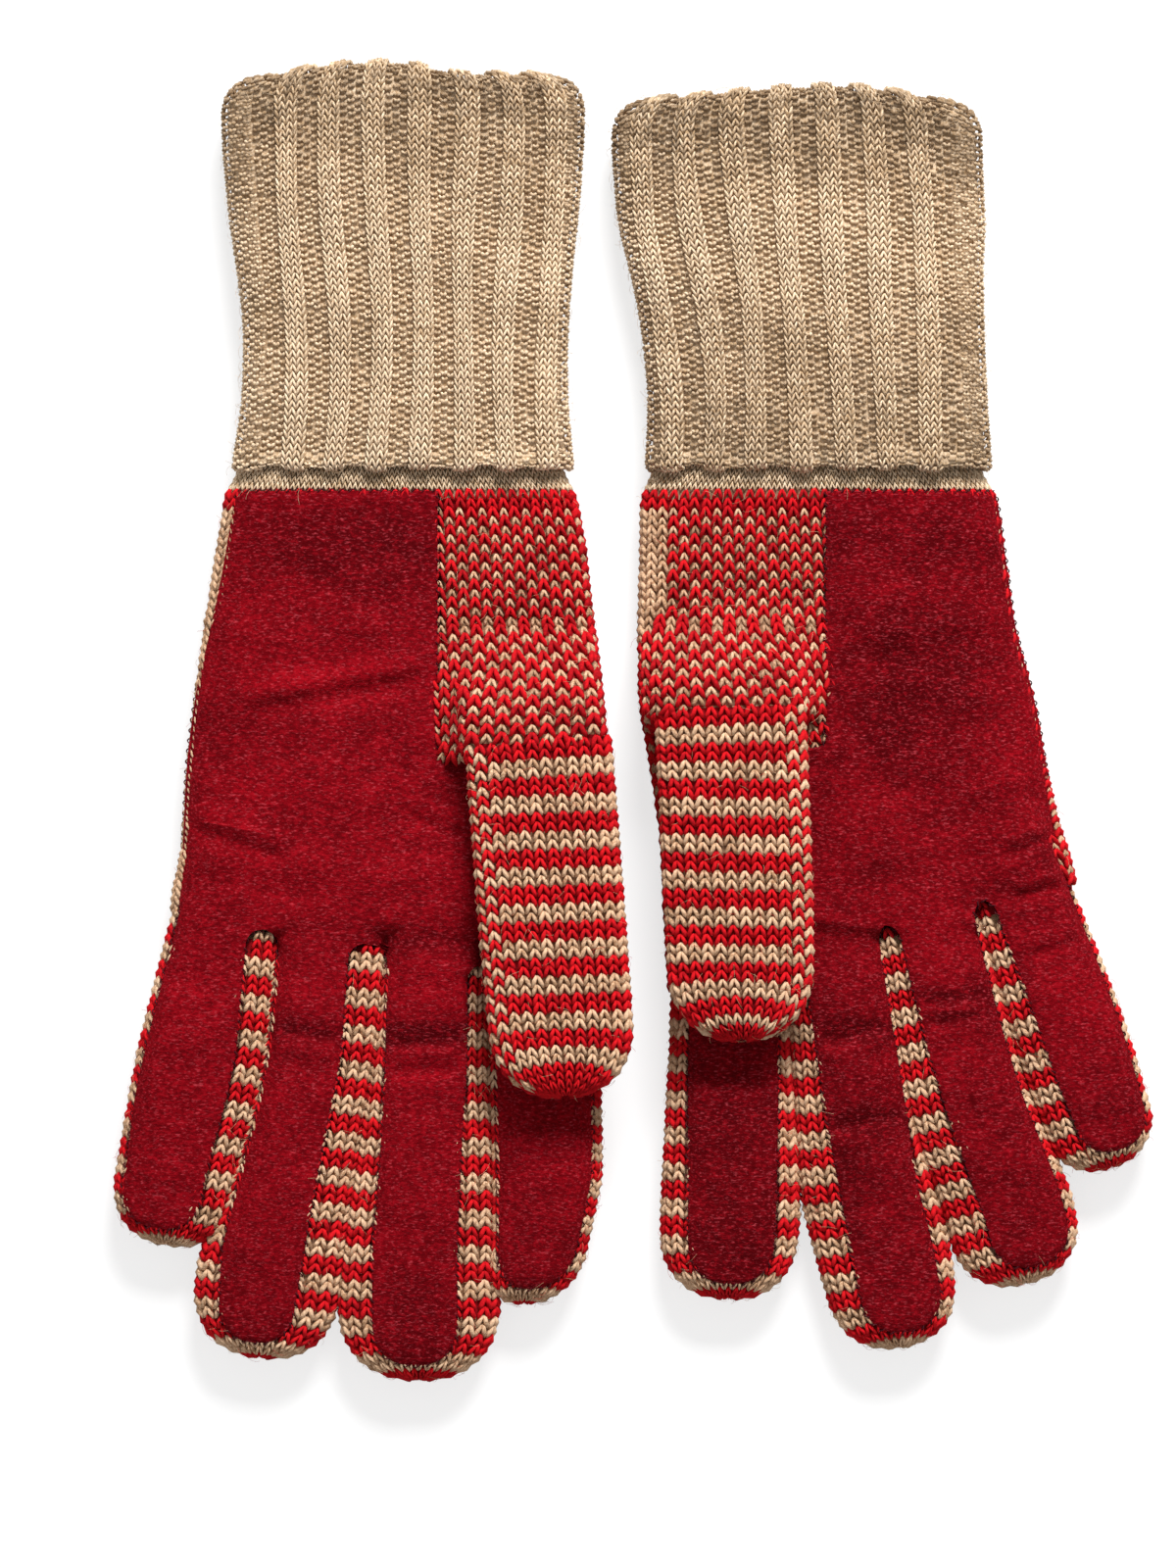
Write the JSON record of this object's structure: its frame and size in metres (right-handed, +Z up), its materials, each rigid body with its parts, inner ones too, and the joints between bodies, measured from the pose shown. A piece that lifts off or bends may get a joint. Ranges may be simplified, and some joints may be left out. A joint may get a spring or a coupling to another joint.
{
  "type": "ski glove",
  "caption": "Pair of knitted ski gloves lying palm up, with turned-back ribbed cuffs, suede palms and striped fingers and thumbs that fold.",
  "frame": {"origin": "middle of the pair's bounding box, on the surface that the gloves lie on", "axes": "+Z up out of the palms, +Y from the fingertips to the cuffs, +X from the left-hand glove to the right-hand glove"},
  "size_m": [0.2476, 0.3166, 0.0275],
  "materials": {
    "patterned_knit": "matte wool knit, red with oatmeal stitches",
    "oatmeal_knit": "matte wool knit, oatmeal heather",
    "suede": "napped crimson suede",
    "thread": "dark red sewing thread"
  },
  "bodies": {
    "left_glove": {"left_hand": "patterned_knit", "left_cuff": "oatmeal_knit", "left_inner_cuff": "oatmeal_knit", "left_palm_suede": "suede", "left_palm_seam": "thread"},
    "left_thumb_part": {"left_thumb": "patterned_knit"},
    "left_index_part": {"left_index_finger": "patterned_knit", "left_index_suede": "suede", "left_index_seam": "thread"},
    "left_middle_part": {"left_middle_finger": "patterned_knit", "left_middle_suede": "suede", "left_middle_seam": "thread"},
    "left_ring_part": {"left_ring_finger": "patterned_knit", "left_ring_suede": "suede", "left_ring_seam": "thread"},
    "left_little_part": {"left_little_finger": "patterned_knit", "left_little_suede": "suede", "left_little_seam": "thread"},
    "right_glove": {"right_hand": "patterned_knit", "right_cuff": "oatmeal_knit", "right_inner_cuff": "oatmeal_knit", "right_palm_suede": "suede", "right_palm_seam": "thread"},
    "right_thumb_part": {"right_thumb": "patterned_knit"},
    "right_index_part": {"right_index_finger": "patterned_knit", "right_index_suede": "suede", "right_index_seam": "thread"},
    "right_middle_part": {"right_middle_finger": "patterned_knit", "right_middle_suede": "suede", "right_middle_seam": "thread"},
    "right_ring_part": {"right_ring_finger": "patterned_knit", "right_ring_suede": "suede", "right_ring_seam": "thread"},
    "right_little_part": {"right_little_finger": "patterned_knit", "right_little_suede": "suede", "right_little_seam": "thread"}
  },
  "joints": [
    {"name": "left_thumb_lift", "type": "hinge", "parent": "left_glove", "child": "left_thumb_part", "pos_m": [-0.0223, -0.0095, 0.0275], "axis": [-0.9969, -0.0785, 0], "range_deg": [0, 80]},
    {"name": "left_index_curl", "type": "hinge", "parent": "left_glove", "child": "left_index_part", "pos_m": [-0.0211, -0.0929, 0.0152], "axis": [-1, 0, 0], "range_deg": [0, 75]},
    {"name": "left_middle_curl", "type": "hinge", "parent": "left_glove", "child": "left_middle_part", "pos_m": [-0.0515, -0.077, 0.0152], "axis": [-1, 0, 0], "range_deg": [0, 75]},
    {"name": "left_ring_curl", "type": "hinge", "parent": "left_glove", "child": "left_ring_part", "pos_m": [-0.0775, -0.061, 0.0152], "axis": [-0.9934, 0.1149, 0], "range_deg": [0, 75]},
    {"name": "left_little_curl", "type": "hinge", "parent": "left_glove", "child": "left_little_part", "pos_m": [-0.1055, -0.0766, 0.0152], "axis": [-0.9866, 0.1633, 0], "range_deg": [0, 75]},
    {"name": "right_thumb_lift", "type": "hinge", "parent": "right_glove", "child": "right_thumb_part", "pos_m": [0.0225, -0.0036, 0.0275], "axis": [-0.9993, -0.0384, 0], "range_deg": [0, 80]},
    {"name": "right_index_curl", "type": "hinge", "parent": "right_glove", "child": "right_index_part", "pos_m": [0.0237, -0.0811, 0.0152], "axis": [-0.9996, 0.0279, 0], "range_deg": [0, 75]},
    {"name": "right_middle_curl", "type": "hinge", "parent": "right_glove", "child": "right_middle_part", "pos_m": [0.0516, -0.0651, 0.0152], "axis": [-0.9928, -0.1201, 0], "range_deg": [0, 75]},
    {"name": "right_ring_curl", "type": "hinge", "parent": "right_glove", "child": "right_ring_part", "pos_m": [0.0806, -0.0811, 0.0152], "axis": [-0.9736, -0.2284, 0], "range_deg": [0, 75]},
    {"name": "right_little_curl", "type": "hinge", "parent": "right_glove", "child": "right_little_part", "pos_m": [0.1019, -0.0647, 0.0152], "axis": [-0.9527, -0.304, 0], "range_deg": [0, 75]},
    {"name": "right_glove_lift", "type": "slide", "parent": "left_glove", "child": "right_glove", "axis": [0, 0, 1], "range_m": [0, 0.15]}
  ]
}
